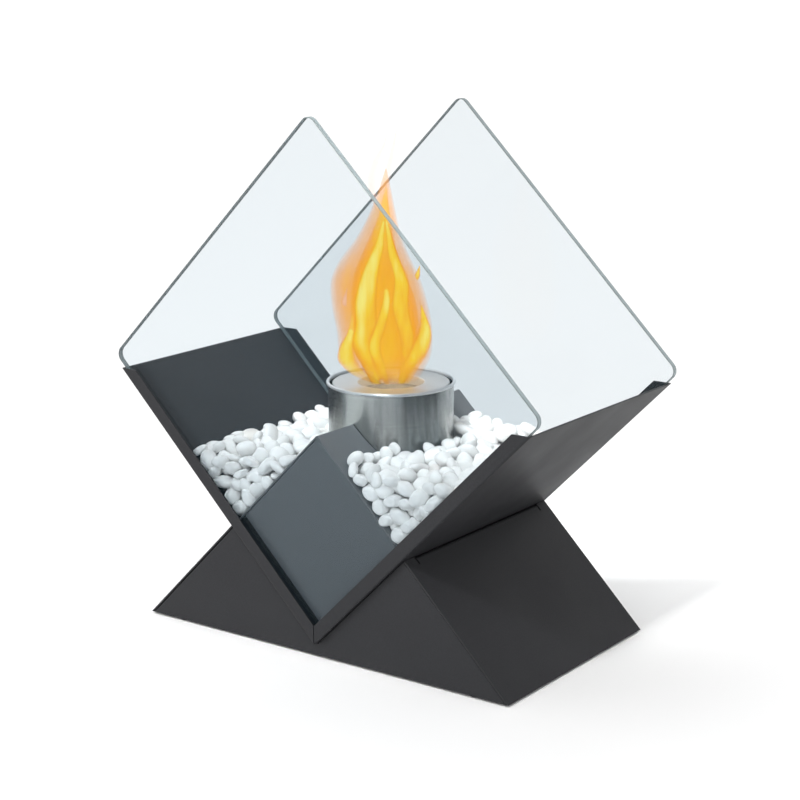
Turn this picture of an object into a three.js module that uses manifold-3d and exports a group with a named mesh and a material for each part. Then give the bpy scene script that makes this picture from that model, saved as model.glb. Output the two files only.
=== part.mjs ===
// Tabletop bioethanol fireplace in the shape of a diamond, in millimetres, +Z up, front towards -Y.
// A folded V trough crosses a ridge shaped base. Two square panes stand on a corner in the trough,
// and a burner stands between them in a housing whose roof is in line with the slopes of the base.
import * as THREE from "three";
import { mergeVertices } from "three/addons/utils/BufferGeometryUtils.js";
import Module from "manifold-3d";

const wasm = await Module();
wasm.setup();

// ---- driving dimensions ----

const seatGap = 0.3; // between pieces that touch
const bendRadius = 1.6; // outside of a fold in sheet metal

const footThickness = 1.5;
const footEdgeRadius = 0.4;
const footRadius = 6;
const footFromTip = 34; // from the tip of a slope to the middle of a foot

const baseSheet = 1.5;
const baseDepth = 203;
const baseHem = 16;
const basePlateLip = 12;
const ridgeRise = 183.4; // where the slopes of base and housing meet, above the base's lower edge
const slopeTab = 22;
const slopeBendRadius = 3;
const earPlay = 0.5; // the flat end of a slope is wider than the lip under it
const reliefWidth = 1.6;
const reliefLength = 7;

const troughSheet = 1.5;
const troughDepth = 214;
const troughReach = 203.5; // from the middle to the tip of a wall
const troughLift = 10; // bottom fold above the base's lower edge
const flangeWidth = 11.5;
const mitreGap = 0.8;

const paneSide = 300;
const paneThickness = 5;
const paneCornerRadius = 8;
const paneChamfer = 0.6;
const panePlay = 0.8; // between a pane and the flange in front of it

const housingSheet = 1.2;
const housingPlay = 0.7; // between an end plate and its pane
const housingLip = 20;
const housingLipTrim = 16; // from the ends of the roof to its lips
const endPlateLift = 12.5; // lower edges of the end plates above the outside of the trough
const endPlateLip = 10;
const holePlay = 0.8; // between the burner and the edge of its hole
const shelfLip = 14;
const shelfEndGap = 32; // from an end plate to the shelf

const rimAboveRidge = 26.6;
const rimBeadRadius = 1.3;
const rimBeadRoundness = 0.9; // its fillets, against its radius
const sleeveRadius = 52;
const sleeveHeight = 85;
const sleeveWall = 1;
const footRingHeight = 2.5;
const footRingWidth = 7;
const coverSheet = 1;
const coverDrop = 1.4; // the cover ring below the top of the rim
const coverGroove = 2.4; // between the cover ring and the inside of the sleeve
const coverSkirt = 5;
const mouthRadius = 27.3;
const mouthCollar = 8;
const reservoirWall = 0.8;
const reservoirPlay = 0.5; // between the reservoir and the skirt round it
const woolHeight = 46;
const woolPlay = 0.6;

const screwRadius = 2.5;
const screwHeadRadius = 4.6;
const screwHeadHeight = 2.6;
const screwSocketWidth = 3;
const screwSocketDepth = 1.4;
const screwTail = 1.5; // shank past the nut
const screwFromSlope = 12; // along a wall, from the slope to a screw
const screwSpacing = 120;
const nutWidth = 8;
const nutHeight = 4;

const pebbleDropLeft = 20.5; // from the ridge down to the top of the pebbles
const pebbleDropRight = 13.5;
const pebblePlay = 0.8;
const pebblePitch = 17.5; // from the middle of a pebble to the next
const pebbleHeight = 5; // of a pebble above the dips round it
const pebbleUneven = 3; // by which one pebble may lie lower than the next
const pebbleShoulder = 1.2; // of a pebble's top above the rim of its round
const pebbleStray = 0.4; // how far pebbles lie out of line, in pitches
const pebbleRoundness = 0.68; // the rim of a pebble's round, on the way from its middle to a dip

// ---- places that follow from them ----

const diagonal = Math.SQRT2;
const quarterTurn = Math.PI / 2;
const baseBottom = footThickness + seatGap;
const baseFront = -baseDepth / 2;
const ridge = baseBottom + ridgeRise;
const slopeEar = basePlateLip + earPlay;
const troughBottom = baseBottom + troughLift;
const troughTop = troughBottom + troughReach;
const troughFront = -troughDepth / 2;
const troughFloor = troughBottom + troughSheet * diagonal; // inside of the bottom fold
const farAway = 4 * (troughReach + ridge); // past the whole object
const cutPast = 1; // by which a cutting tool sticks out of what it cuts

const paneHalf = paneSide / diagonal;
const paneMiddle = troughFloor + seatGap * diagonal + paneHalf;
const paneFront = troughFront + troughSheet + panePlay;
const paneBack = paneFront + paneThickness;

const housingFront = paneBack + housingPlay;
const housingFloor = troughFloor + seatGap * diagonal;
const rimTop = ridge + rimAboveRidge;
const sleeveBottom = rimTop - sleeveHeight;
const coverTop = rimTop - coverDrop;
const coverBottom = coverTop - coverSheet;
const sleeveInside = sleeveRadius - sleeveWall;
const rimOutside = sleeveInside + 2 * rimBeadRadius;
const coverRadius = sleeveInside - coverGroove;
const reservoirRadius = coverRadius - coverSheet - reservoirPlay;
const reservoirBottom = sleeveBottom + footRingHeight + sleeveWall + seatGap;

const screwAlongWall = (ridge - troughBottom) / diagonal - screwFromSlope;

// Heights above the outside of a trough wall, along a screw.
const tabUnderside = -seatGap - baseSheet;
const headTop = tabUnderside - seatGap;
const headBottom = headTop - screwHeadHeight;
const nutBottom = troughSheet + housingSheet + 2 * seatGap;
const nutTop = nutBottom + nutHeight;

// ---- outlines ----

// A closed outline through corners [x, y, radius], with an arc where a corner has a radius.
function outline(corners) {
  const shape = new THREE.Shape();
  corners.forEach(([x, y, radius = 0], i) => {
    const here = new THREE.Vector2(x, y);
    const [beforeX, beforeY] = corners[(i + corners.length - 1) % corners.length];
    const [afterX, afterY] = corners[(i + 1) % corners.length];
    const back = new THREE.Vector2(beforeX, beforeY).sub(here).normalize();
    const on = new THREE.Vector2(afterX, afterY).sub(here).normalize();
    const half = Math.acos(back.dot(on)) / 2;
    const toCentre = back.clone().add(on).setLength(radius / Math.sin(half));
    const start = back.clone().multiplyScalar(radius / Math.tan(half)).sub(toCentre);
    const end = on.clone().multiplyScalar(radius / Math.tan(half)).sub(toCentre);
    const centre = here.add(toCentre);
    const first = start.clone().add(centre);
    if (i === 0) shape.moveTo(first.x, first.y);
    else shape.lineTo(first.x, first.y);
    if (radius > 0) {
      shape.absarc(centre.x, centre.y, radius, start.angle(), end.angle(), back.cross(on) > 0);
    }
  });
  return shape;
}

// Corners on one side of the middle, from the middle outwards and back, and the same on the other side.
function mirrored(corners) {
  const other = corners.map(([x, y, radius]) => [-x, y, radius]).reverse();
  const offMiddle = other.filter(([x]) => x !== 0);
  return [...corners, ...offMiddle];
}

// The corner where the lines x + z = sum and z - x = difference cross.
function crossing(sum, difference, radius = 0) {
  return [(sum - difference) / 2, (sum + difference) / 2, radius];
}

// ---- solids ----

// An outline in XZ as a plate from y = front to y = front + depth.
function plate(shape, front, depth, arcSteps = 2) {
  const geometry = new THREE.ExtrudeGeometry(shape, { depth, bevelEnabled: false, curveSegments: arcSteps });
  return geometry.rotateX(quarterTurn).translate(0, front + depth, 0);
}

// A cross section in (y, up), run from start for a length. It goes the way that y cross up points.
function strip(section, up, start, length, arcSteps = 2) {
  const geometry = new THREE.ExtrudeGeometry(section, {
    depth: length,
    bevelEnabled: false,
    curveSegments: arcSteps,
  });
  const acrossDepth = new THREE.Vector3(0, 1, 0);
  const along = acrossDepth.clone().cross(up);
  const frame = new THREE.Matrix4().makeBasis(acrossDepth, up, along);
  return geometry.applyMatrix4(frame.setPosition(start));
}

// A profile of corners [radius, z, fillet] turned about the upright axis.
function turned(corners, turnSteps = 48, filletSteps = 1) {
  const points = outline(corners).getPoints(filletSteps);
  if (points[0].x > 0) points.push(points[0].clone());
  return new THREE.LatheGeometry(points, turnSteps).rotateX(quarterTurn);
}

function block(fromX, toX, fromY, toY, fromZ, toZ) {
  const geometry = new THREE.BoxGeometry(toX - fromX, toY - fromY, toZ - fromZ);
  return geometry.translate((fromX + toX) / 2, (fromY + toY) / 2, (fromZ + toZ) / 2);
}

function upright(radius, fromZ, toZ, turnSteps = 64) {
  const geometry = new THREE.CylinderGeometry(radius, radius, toZ - fromZ, turnSteps);
  return geometry.rotateX(quarterTurn).translate(0, 0, (fromZ + toZ) / 2);
}

function solid(geometry) {
  const bare = geometry.clone();
  bare.deleteAttribute("normal");
  bare.deleteAttribute("uv");
  const merged = mergeVertices(bare, 1e-4);
  const mesh = new wasm.Mesh({
    numProp: 3,
    vertProperties: merged.attributes.position.array,
    triVerts: new Uint32Array(merged.index.array),
  });
  return new wasm.Manifold(mesh);
}

function geometryOf(manifold) {
  const mesh = manifold.getMesh();
  const geometry = new THREE.BufferGeometry();
  geometry.setAttribute("position", new THREE.BufferAttribute(mesh.vertProperties, mesh.numProp));
  geometry.setIndex(new THREE.BufferAttribute(mesh.triVerts, 1));
  geometry.computeVertexNormals();
  return geometry;
}

function join(...geometries) {
  return geometryOf(geometries.map(solid).reduce((whole, piece) => whole.add(piece)));
}

function cut(geometry, ...tools) {
  return geometryOf(tools.map(solid).reduce((whole, tool) => whole.subtract(tool), solid(geometry)));
}

function keepInside(geometry, ...rooms) {
  return geometryOf(rooms.map(solid).reduce((whole, room) => whole.intersect(room), solid(geometry)));
}

function halfTurn(geometry) {
  return geometry.clone().rotateZ(Math.PI);
}

// ---- the right wall of the trough, which the left one repeats half a turn round ----

const intoTrough = new THREE.Vector3(-1, 0, 1).normalize();
const upWall = new THREE.Vector3(1, 0, 1).normalize();

// A point at a distance up the wall and a height above its outside.
function onWall(distance, height, y = 0) {
  const fold = new THREE.Vector3(0, y, troughBottom);
  return fold.addScaledVector(upWall, distance).addScaledVector(intoTrough, height);
}

// A geometry that is upright about a screw's axis, put where that screw goes through the wall.
function atScrew(geometry, y) {
  const acrossDepth = new THREE.Vector3(0, 1, 0);
  const frame = new THREE.Matrix4().makeBasis(acrossDepth, upWall.clone().negate(), intoTrough);
  return geometry.applyMatrix4(frame.setPosition(onWall(screwAlongWall, 0, y)));
}

// An outline across a screw, run from one height above the outside of the wall to another.
function acrossScrew(shape, fromHeight, toHeight, y) {
  const depth = toHeight - fromHeight;
  const geometry = new THREE.ExtrudeGeometry(shape, { depth, bevelEnabled: false, curveSegments: 4 });
  return atScrew(geometry.translate(0, 0, fromHeight), y);
}

function circle(radius) {
  return new THREE.Shape().absarc(0, 0, radius, 0, 2 * Math.PI);
}

function hexagon(width) {
  const corner = width / Math.sqrt(3);
  const turns = [0, 1, 2, 3, 4, 5].map((sixth) => (sixth * Math.PI) / 3);
  return outline(turns.map((turn) => [corner * Math.cos(turn), corner * Math.sin(turn)]));
}

function screwHoles() {
  const hole = circle(screwRadius + seatGap);
  return [-1, 1].map((side) => acrossScrew(hole, -slopeTab, slopeTab, (side * screwSpacing) / 2));
}

// ---- trough: two channels that meet in a mitre at the bottom fold ----

function troughGeometry() {
  const side = troughDepth / 2;
  const inside = side - troughSheet;
  const channel = outline([
    [side, flangeWidth],
    [inside, flangeWidth],
    [inside, troughSheet],
    [-inside, troughSheet],
    [-inside, flangeWidth],
    [-side, flangeWidth],
    [-side, 0, bendRadius],
    [side, 0, bendRadius],
  ]);
  const spare = 2 * flangeWidth;
  const wall = strip(channel, intoTrough, onWall(-spare, 0), troughReach * diagonal + 2 * spare);
  const rightSide = block(0, farAway, -farAway, farAway, 0, troughTop);
  const rightWall = cut(keepInside(wall, rightSide), ...screwHoles());
  const vee = join(rightWall, halfTurn(rightWall));
  const foldLoss = (diagonal - 1) * bendRadius; // what a round fold is short of a sharp one
  const aboveFold = block(-farAway, farAway, -farAway, farAway, troughBottom + foldLoss, farAway);
  const rounded = keepInside(vee, aboveFold);
  const mitreDepth = 2 * bendRadius;
  const mitre = block(-mitreGap / 2, mitreGap / 2, -farAway, troughFront + mitreDepth, 0, troughTop);
  return cut(rounded, mitre, halfTurn(mitre));
}

// ---- glass ----

function paneGeometry() {
  const half = paneHalf - paneChamfer * diagonal;
  const radius = paneCornerRadius - paneChamfer;
  const square = outline([
    [0, -half, radius],
    [half, 0, radius],
    [0, half, radius],
    [-half, 0, radius],
  ]);
  const geometry = new THREE.ExtrudeGeometry(square, {
    depth: paneThickness - 2 * paneChamfer,
    bevelThickness: paneChamfer,
    bevelSize: paneChamfer,
    bevelSegments: 1,
    curveSegments: 3,
  });
  return geometry.rotateX(quarterTurn).translate(0, paneThickness - paneChamfer, 0);
}

// ---- sheets that stand upright under a sloping one, with their upper edges folded back under it ----

// outlineAt gives the outline in XZ with its upper edges lowered by an amount, square to them.
function lippedPlate(outlineAt, top, sheet, lip, front) {
  const leg = 2 * bendRadius;
  const angle = outline([
    [0, -leg],
    [0, 0, bendRadius],
    [lip, 0],
    [lip, -sheet],
    [sheet, -sheet],
    [sheet, -leg],
  ].reverse());
  const length = top * diagonal;
  const start = new THREE.Vector3(0, front, top);
  const right = strip(angle, upWall, start, length);
  const left = strip(angle, intoTrough, start.clone().addScaledVector(upWall, -length), length);
  const room = plate(outlineAt(0), front, lip);
  return join(plate(outlineAt(bendRadius), front, sheet), keepInside(right, room), keepInside(left, room));
}

// ---- base ----

const baseNotch = troughBottom - seatGap * diagonal; // z - x on the line that clears the trough
const basePlateTop = ridge - (baseSheet + seatGap) * diagonal;

function basePlateOutline(lowered) {
  const top = basePlateTop - lowered * diagonal;
  const tip = [top - baseBottom, baseBottom];
  return outline(mirrored([[0, baseNotch], crossing(top, baseNotch), tip]).reverse());
}

function basePlateGeometry() {
  const tip = basePlateTop - baseBottom;
  const hem = block(-tip, tip, baseFront, baseFront + baseHem, baseBottom, baseBottom + baseSheet);
  const room = plate(basePlateOutline(0), baseFront, baseHem);
  const lipped = lippedPlate(basePlateOutline, basePlateTop, baseSheet, basePlateLip, baseFront);
  return join(lipped, keepInside(hem, room));
}

function baseSlopeGeometry() {
  const inside = ridge - baseSheet * diagonal;
  const toe = [ridge - baseBottom, baseBottom];
  const heel = [inside - baseBottom, baseBottom];
  const tabTop = baseNotch;
  const tabUnder = tabTop - baseSheet * diagonal;
  const tabEnd = ridge - slopeTab * diagonal;
  const bendStart = tabTop - slopeBendRadius * diagonal;
  const folded = outline([
    heel,
    crossing(inside, tabUnder, slopeBendRadius - baseSheet),
    crossing(tabEnd, tabUnder),
    crossing(tabEnd, tabTop),
    crossing(ridge, tabTop, slopeBendRadius),
    toe,
  ].reverse());
  const flat = outline([heel, crossing(inside, bendStart), crossing(ridge, bendStart), toe].reverse());
  const ear = outline([heel, crossing(inside, tabTop), crossing(ridge, tabTop), toe].reverse());
  const foldedFront = baseFront + slopeEar + reliefWidth;
  const earPlate = plate(ear, baseFront, slopeEar);
  const panel = join(
    plate(flat, baseFront, baseDepth),
    plate(folded, foldedFront, -2 * foldedFront, 4),
    earPlate,
    plate(ear, -baseFront - slopeEar, slopeEar),
  );
  const reliefEnd = tabTop - reliefLength * diagonal;
  const beyond = ridge + slopeTab;
  const slot = outline([
    crossing(tabEnd, reliefEnd),
    crossing(tabEnd, tabTop + slopeTab),
    crossing(beyond, tabTop + slopeTab),
    crossing(beyond, reliefEnd),
  ].reverse());
  const relief = plate(slot, baseFront + slopeEar, reliefWidth);
  const rearRelief = plate(slot, -baseFront - slopeEar - reliefWidth, reliefWidth);
  return cut(panel, relief, rearRelief, ...screwHoles());
}

// ---- burner housing ----

function housingRoofGeometry() {
  const inside = ridge - housingSheet * diagonal;
  const lipTop = housingFloor + housingSheet * diagonal;
  const lipEnd = ridge - housingLip * diagonal;
  const lipped = outline(mirrored([
    [0, inside],
    crossing(inside, lipTop),
    crossing(lipEnd, lipTop),
    crossing(lipEnd, housingFloor),
    crossing(ridge, housingFloor, bendRadius),
    [0, ridge, bendRadius],
  ]));
  const footEnd = housingFloor + 2 * bendRadius;
  const bare = outline(mirrored([
    [0, inside],
    crossing(inside, footEnd),
    crossing(ridge, footEnd),
    [0, ridge, bendRadius],
  ]));
  const lipFront = housingFront + housingLipTrim;
  const roof = join(plate(bare, housingFront, -2 * housingFront), plate(lipped, lipFront, -2 * lipFront));
  const hole = upright(sleeveRadius + holePlay, sleeveBottom - holePlay, rimTop);
  const holes = screwHoles();
  return cut(roof, hole, ...holes, ...holes.map(halfTurn));
}

const endPlateTop = ridge - (housingSheet + seatGap) * diagonal;

function endPlateOutline(lowered) {
  const top = endPlateTop - lowered * diagonal;
  const lowerEdge = troughBottom + endPlateLift * diagonal;
  return outline(mirrored([[0, top], crossing(top, lowerEdge), [0, lowerEdge]]).reverse());
}

function endPlateGeometry() {
  return lippedPlate(endPlateOutline, endPlateTop, housingSheet, endPlateLip, housingFront);
}

function shelfGeometry() {
  const top = sleeveBottom - seatGap;
  const under = top - housingSheet;
  const outside = endPlateTop;
  const inside = outside - housingSheet * diagonal;
  const drop = shelfLip / diagonal;
  const profile = outline(mirrored([
    [0, top],
    [outside - top, top, bendRadius],
    [outside - top + drop, top - drop],
    [inside - top + drop, top - drop],
    [inside - under, under],
    [0, under],
  ]).reverse());
  const front = housingFront + shelfEndGap;
  return plate(profile, front, -2 * front);
}

// ---- burner ----

function sleeveGeometry() {
  const ringInside = sleeveRadius - footRingWidth;
  const raised = sleeveBottom + footRingHeight;
  const beadFoot = rimTop - 2 * rimBeadRadius;
  const beadFillet = rimBeadRadius * rimBeadRoundness;
  return turned([
    [0, raised],
    [ringInside - footRingHeight, raised],
    [ringInside, sleeveBottom],
    [sleeveRadius, sleeveBottom, sleeveWall],
    [sleeveRadius, beadFoot],
    [rimOutside, beadFoot, beadFillet],
    [rimOutside, rimTop, beadFillet],
    [sleeveInside, rimTop, beadFillet],
    [sleeveInside, sleeveBottom + sleeveWall],
    [ringInside + sleeveWall, sleeveBottom + sleeveWall],
    [ringInside - footRingHeight + sleeveWall, raised + sleeveWall],
    [0, raised + sleeveWall],
  ]);
}

function reservoirGeometry() {
  const inside = reservoirRadius - reservoirWall;
  const floor = reservoirBottom + reservoirWall;
  const top = coverBottom - seatGap;
  return turned([
    [0, reservoirBottom],
    [reservoirRadius, reservoirBottom, 2 * reservoirWall],
    [reservoirRadius, top],
    [inside, top],
    [inside, floor, reservoirWall],
    [0, floor],
  ], 32);
}

function coverRingGeometry() {
  const skirtInside = coverRadius - coverSheet;
  const skirtEnd = coverTop - coverSkirt;
  const collarOutside = mouthRadius + coverSheet;
  const collarEnd = coverTop - mouthCollar;
  return turned([
    [mouthRadius, collarEnd],
    [collarOutside, collarEnd],
    [collarOutside, coverBottom],
    [skirtInside, coverBottom],
    [skirtInside, skirtEnd],
    [coverRadius, skirtEnd],
    [coverRadius, coverTop, coverSheet],
    [mouthRadius, coverTop, coverSheet],
  ]);
}

function woolGeometry() {
  const bottom = reservoirBottom + reservoirWall + seatGap;
  const radius = reservoirRadius - reservoirWall - woolPlay;
  return upright(radius, bottom, bottom + woolHeight, 48);
}

// ---- screws and nuts of the right wall ----

function screwGeometry(y) {
  const screw = turned([
    [0, headBottom],
    [screwHeadRadius, headBottom, screwHeadHeight / 2],
    [screwHeadRadius, headTop],
    [screwRadius, headTop],
    [screwRadius, nutTop + screwTail],
    [0, nutTop + screwTail],
  ], 16);
  const socketEnd = headBottom + screwSocketDepth;
  const socket = acrossScrew(hexagon(screwSocketWidth), headBottom - cutPast, socketEnd, y);
  return cut(atScrew(screw, y), socket);
}

function nutGeometry(y) {
  const nut = acrossScrew(hexagon(nutWidth), nutBottom, nutTop, y);
  const bore = circle(screwRadius + seatGap);
  return cut(nut, acrossScrew(bore, nutBottom - cutPast, nutTop + cutPast, y));
}

// ---- pebbles that fill the right side of the trough, between the panes and up to the roof ----

// A slab whose top is all pebbles, side by side in uneven rows. The highest may reach z = 0.
// Each pebble has six neighbours, and a dip lies between it and each two of them.
function pebbleSlab(fromX, toX, fromY, toY, seed) {
  const columns = Math.round((toX - fromX) / pebblePitch);
  const rows = Math.round((toY - fromY) / (pebblePitch * Math.sqrt(0.75)));
  const columnPitch = (toX - fromX) / columns;
  const rowPitch = (toY - fromY) / rows;

  function pebbleTop(column, row) {
    const chance = (use) => THREE.MathUtils.seededRandom(seed + use + 10 * column + 1000 * row);
    const stray = (use) => pebbleStray * (chance(use) - 0.5);
    const shift = row % 2 === 0 ? 0 : 0.5;
    const x = fromX + (column + shift + 0.5 + stray(1)) * columnPitch;
    const y = fromY + (row + 0.5 + stray(2)) * rowPitch;
    return new THREE.Vector3(x, y, -pebbleUneven * chance(3));
  }

  const corners = [];
  const below = (point) => point.clone().setZ(-farAway);
  for (let row = -1; row <= rows; row += 1) {
    for (let column = -1; column <= columns; column += 1) {
      const odd = Math.abs(row % 2);
      const ways = [[1, 0], [odd, 1], [odd - 1, 1], [-1, 0], [odd - 1, -1], [odd, -1]];
      const top = pebbleTop(column, row);
      const others = ways.map(([across, along]) => pebbleTop(column + across, row + along));
      const dips = others.map((other, i) => {
        const sum = top.clone().add(other).add(others[(i + 1) % 6]);
        return sum.divideScalar(3).setZ(sum.z - pebbleHeight);
      });
      const rim = dips.map((dip) => top.clone().lerp(dip, pebbleRoundness).setZ(top.z - pebbleShoulder));
      ways.forEach((way, i) => {
        const j = (i + 1) % 6;
        corners.push(top, rim[i], rim[j]);
        corners.push(rim[i], dips[i], dips[j]);
        corners.push(rim[i], dips[j], rim[j]);
        corners.push(below(top), below(dips[j]), below(dips[i]));
        const nextColumn = column + ways[j][0];
        const nextRow = row + ways[j][1];
        const columnInside = nextColumn >= -1 && nextColumn <= columns;
        if (columnInside && nextRow >= -1 && nextRow <= rows) return;
        corners.push(dips[j], dips[i], below(dips[i]));
        corners.push(dips[j], below(dips[i]), below(dips[j]));
      });
    }
  }
  return new THREE.BufferGeometry().setFromPoints(corners);
}

// Along the roof and the wall the heap ends upright, so that no pebble there is left loose.
function pebbleGeometry(drop, seed) {
  const level = ridge - drop;
  const edge = level - pebbleHeight - pebbleUneven - pebblePlay;
  const onRoof = ridge + pebblePlay * diagonal;
  const onTrough = troughBottom + (troughSheet + pebblePlay) * diagonal;
  const lowest = crossing(onRoof, onTrough);
  const inner = onRoof - edge;
  const outer = edge - onTrough;
  const heap = outline([[inner, level], [inner, edge], lowest, [outer, edge], [outer, level]]);
  const front = paneBack + pebblePlay;
  const [, bottom] = lowest;
  const topPebbles = pebbleSlab(inner, outer, front, -front, seed).translate(0, 0, level);
  const frontPebbles = pebbleSlab(inner, outer, bottom, level, 2 * seed).rotateX(quarterTurn);
  const rearPebbles = pebbleSlab(inner, outer, -level, -bottom, 3 * seed).rotateX(-quarterTurn);
  const filled = keepInside(
    plate(heap, front, -2 * front),
    topPebbles,
    frontPebbles.translate(0, front, 0),
    rearPebbles.translate(0, -front, 0),
  );
  return cut(filled, upright(rimOutside + pebblePlay, sleeveBottom, rimTop));
}

// ---- feet ----

function footGeometry() {
  return turned([
    [0, 0],
    [footRadius, 0, footEdgeRadius],
    [footRadius, footThickness, footEdgeRadius],
    [0, footThickness],
  ], 16);
}

// ---- finishes ----

function blackPowderCoat() {
  return new THREE.MeshStandardMaterial({ color: 0x2e2f33, roughness: 0.62, metalness: 0.1 });
}

function clearGlass() {
  return new THREE.MeshStandardMaterial({
    color: 0xe4eff0,
    roughness: 0.04,
    metalness: 0,
    transparent: true,
    opacity: 0.28,
  });
}

function brushedSteel() {
  return new THREE.MeshStandardMaterial({ color: 0xbabdc1, roughness: 0.34, metalness: 1 });
}

function mattSteel() {
  return new THREE.MeshStandardMaterial({ color: 0xa9b2ba, roughness: 0.5, metalness: 0.9 });
}

function blackSteel() {
  return new THREE.MeshStandardMaterial({ color: 0x232427, roughness: 0.45, metalness: 0.7 });
}

function whiteWool() {
  return new THREE.MeshStandardMaterial({ color: 0xf1efe9, roughness: 1, metalness: 0 });
}

function whiteStone() {
  return new THREE.MeshStandardMaterial({ color: 0xebe8e2, roughness: 0.55, metalness: 0 });
}

function blackRubber() {
  return new THREE.MeshStandardMaterial({ color: 0x1b1b1c, roughness: 0.85, metalness: 0 });
}

// ---- the assembly ----

const group = new THREE.Group();
group.name = "tabletop_bioethanol_fireplace";

function add(name, geometry, finish) {
  const mesh = new THREE.Mesh(geometry, finish);
  mesh.name = name;
  group.add(mesh);
  return mesh;
}

add("trough", troughGeometry(), blackPowderCoat());
add("front_glass", paneGeometry(), clearGlass()).position.set(0, paneFront, paneMiddle);
add("rear_glass", halfTurn(paneGeometry()), clearGlass()).position.set(0, -paneFront, paneMiddle);

add("base_front_panel", basePlateGeometry(), blackPowderCoat());
add("base_rear_panel", halfTurn(basePlateGeometry()), blackPowderCoat());
add("base_right_slope", baseSlopeGeometry(), blackPowderCoat());
add("base_left_slope", halfTurn(baseSlopeGeometry()), blackPowderCoat());

add("housing_roof", housingRoofGeometry(), blackPowderCoat());
add("housing_front_plate", endPlateGeometry(), blackPowderCoat());
add("housing_rear_plate", halfTurn(endPlateGeometry()), blackPowderCoat());
add("burner_shelf", shelfGeometry(), blackPowderCoat());

add("burner_sleeve", sleeveGeometry(), brushedSteel());
add("burner_reservoir", reservoirGeometry(), brushedSteel());
add("burner_cover_ring", coverRingGeometry(), mattSteel());
add("ceramic_wool", woolGeometry(), whiteWool());

const rightSeed = 100000;
const leftSeed = 400000;
add("pebbles_right", pebbleGeometry(pebbleDropRight, rightSeed), whiteStone());
add("pebbles_left", halfTurn(pebbleGeometry(pebbleDropLeft, leftSeed)), whiteStone());

const footAcross = ridge - baseBottom - footFromTip;
const footAlong = (baseDepth - baseHem) / 2;
for (const [end, side] of [["front", -1], ["rear", 1]]) {
  const screwY = (side * screwSpacing) / 2;
  add(`screw_${end}_right`, screwGeometry(screwY), blackSteel());
  add(`screw_${end}_left`, halfTurn(screwGeometry(-screwY)), blackSteel());
  add(`nut_${end}_right`, nutGeometry(screwY), brushedSteel());
  add(`nut_${end}_left`, halfTurn(nutGeometry(-screwY)), brushedSteel());
  add(`foot_pad_${end}_right`, footGeometry(), blackRubber()).position.set(footAcross, side * footAlong, 0);
  add(`foot_pad_${end}_left`, footGeometry(), blackRubber()).position.set(-footAcross, side * footAlong, 0);
}

export default group;
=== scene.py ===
# %% [markdown]
# # A tabletop bioethanol fireplace
# The fireplace is a folded black V trough on a ridged base. Two square panes of glass stand on a
# corner in the trough, white pebbles fill it round a steel burner, and a flame stands in the
# burner. The sheet metal, the panes and the burner come from the CAD model, which fixes every
# size. This script gives them their finishes and adds what a CAD solid can't show: stones and a
# flame.

# %% Load the CAD model
import math

import bmesh
import bpy
import numpy as np
from mathutils import Euler, Matrix, Vector


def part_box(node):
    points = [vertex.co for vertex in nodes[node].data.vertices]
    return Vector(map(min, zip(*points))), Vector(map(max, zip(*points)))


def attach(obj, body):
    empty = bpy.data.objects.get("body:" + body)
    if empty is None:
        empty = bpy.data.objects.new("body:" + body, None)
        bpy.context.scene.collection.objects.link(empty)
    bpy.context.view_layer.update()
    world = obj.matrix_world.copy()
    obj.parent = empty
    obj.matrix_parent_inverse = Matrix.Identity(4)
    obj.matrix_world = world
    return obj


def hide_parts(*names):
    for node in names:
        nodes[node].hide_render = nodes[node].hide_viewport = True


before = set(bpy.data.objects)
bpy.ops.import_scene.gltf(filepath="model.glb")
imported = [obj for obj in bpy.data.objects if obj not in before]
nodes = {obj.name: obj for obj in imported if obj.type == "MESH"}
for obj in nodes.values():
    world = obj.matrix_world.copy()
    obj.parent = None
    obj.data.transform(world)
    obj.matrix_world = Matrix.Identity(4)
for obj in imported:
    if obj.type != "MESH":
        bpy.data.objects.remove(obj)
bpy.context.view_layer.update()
print("CAD nodes:", len(nodes))

# %% [markdown]
# ## Camera
# A camera is fitted to a photograph by matching the edges of a known shape. The answer here is an
# 87 mm lens, 1.6 m away, about 36 degrees to the right of the front and 13 degrees up. The small
# roll is a camera that was held a little askew.

# %% Camera
AZIMUTH = math.radians(36.189)
ELEVATION = math.radians(13.471)
ROLL = math.radians(-0.301)
DISTANCE = 1.59717
LENS = 87.08
SENSOR_WIDTH = 36
TARGET = Vector((0.0091, 0.0, 0.19564))


def seen_from(azimuth, elevation):
    """The direction from the fireplace to a place round it, where azimuth 0 is the front."""
    return Vector((
        math.cos(elevation) * math.sin(azimuth),
        -math.cos(elevation) * math.cos(azimuth),
        math.sin(elevation),
    ))


backward = seen_from(AZIMUTH, ELEVATION)
camera_data = bpy.data.cameras.new("camera")
camera_data.lens = LENS
camera_data.sensor_width = SENSOR_WIDTH
camera = bpy.data.objects.new("camera", camera_data)
bpy.context.collection.objects.link(camera)
turn = backward.to_track_quat("Z", "Y").to_matrix().to_4x4()
place = Matrix.Translation(TARGET + DISTANCE * backward)
camera.matrix_world = place @ turn @ Matrix.Rotation(ROLL, 4, "Z")
bpy.context.scene.camera = camera
print("Camera at", [round(value, 4) for value in camera.matrix_world.translation])

# %% [markdown]
# ## Studio
# Dark sheet metal and glass are photographed in a white room, lit by large soft boxes. The floor
# is a wide pale sheet. It could be modelled as a sheet that curves up into a wall, but a flat one
# so wide that its end isn't seen gives the same plain ground.


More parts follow.
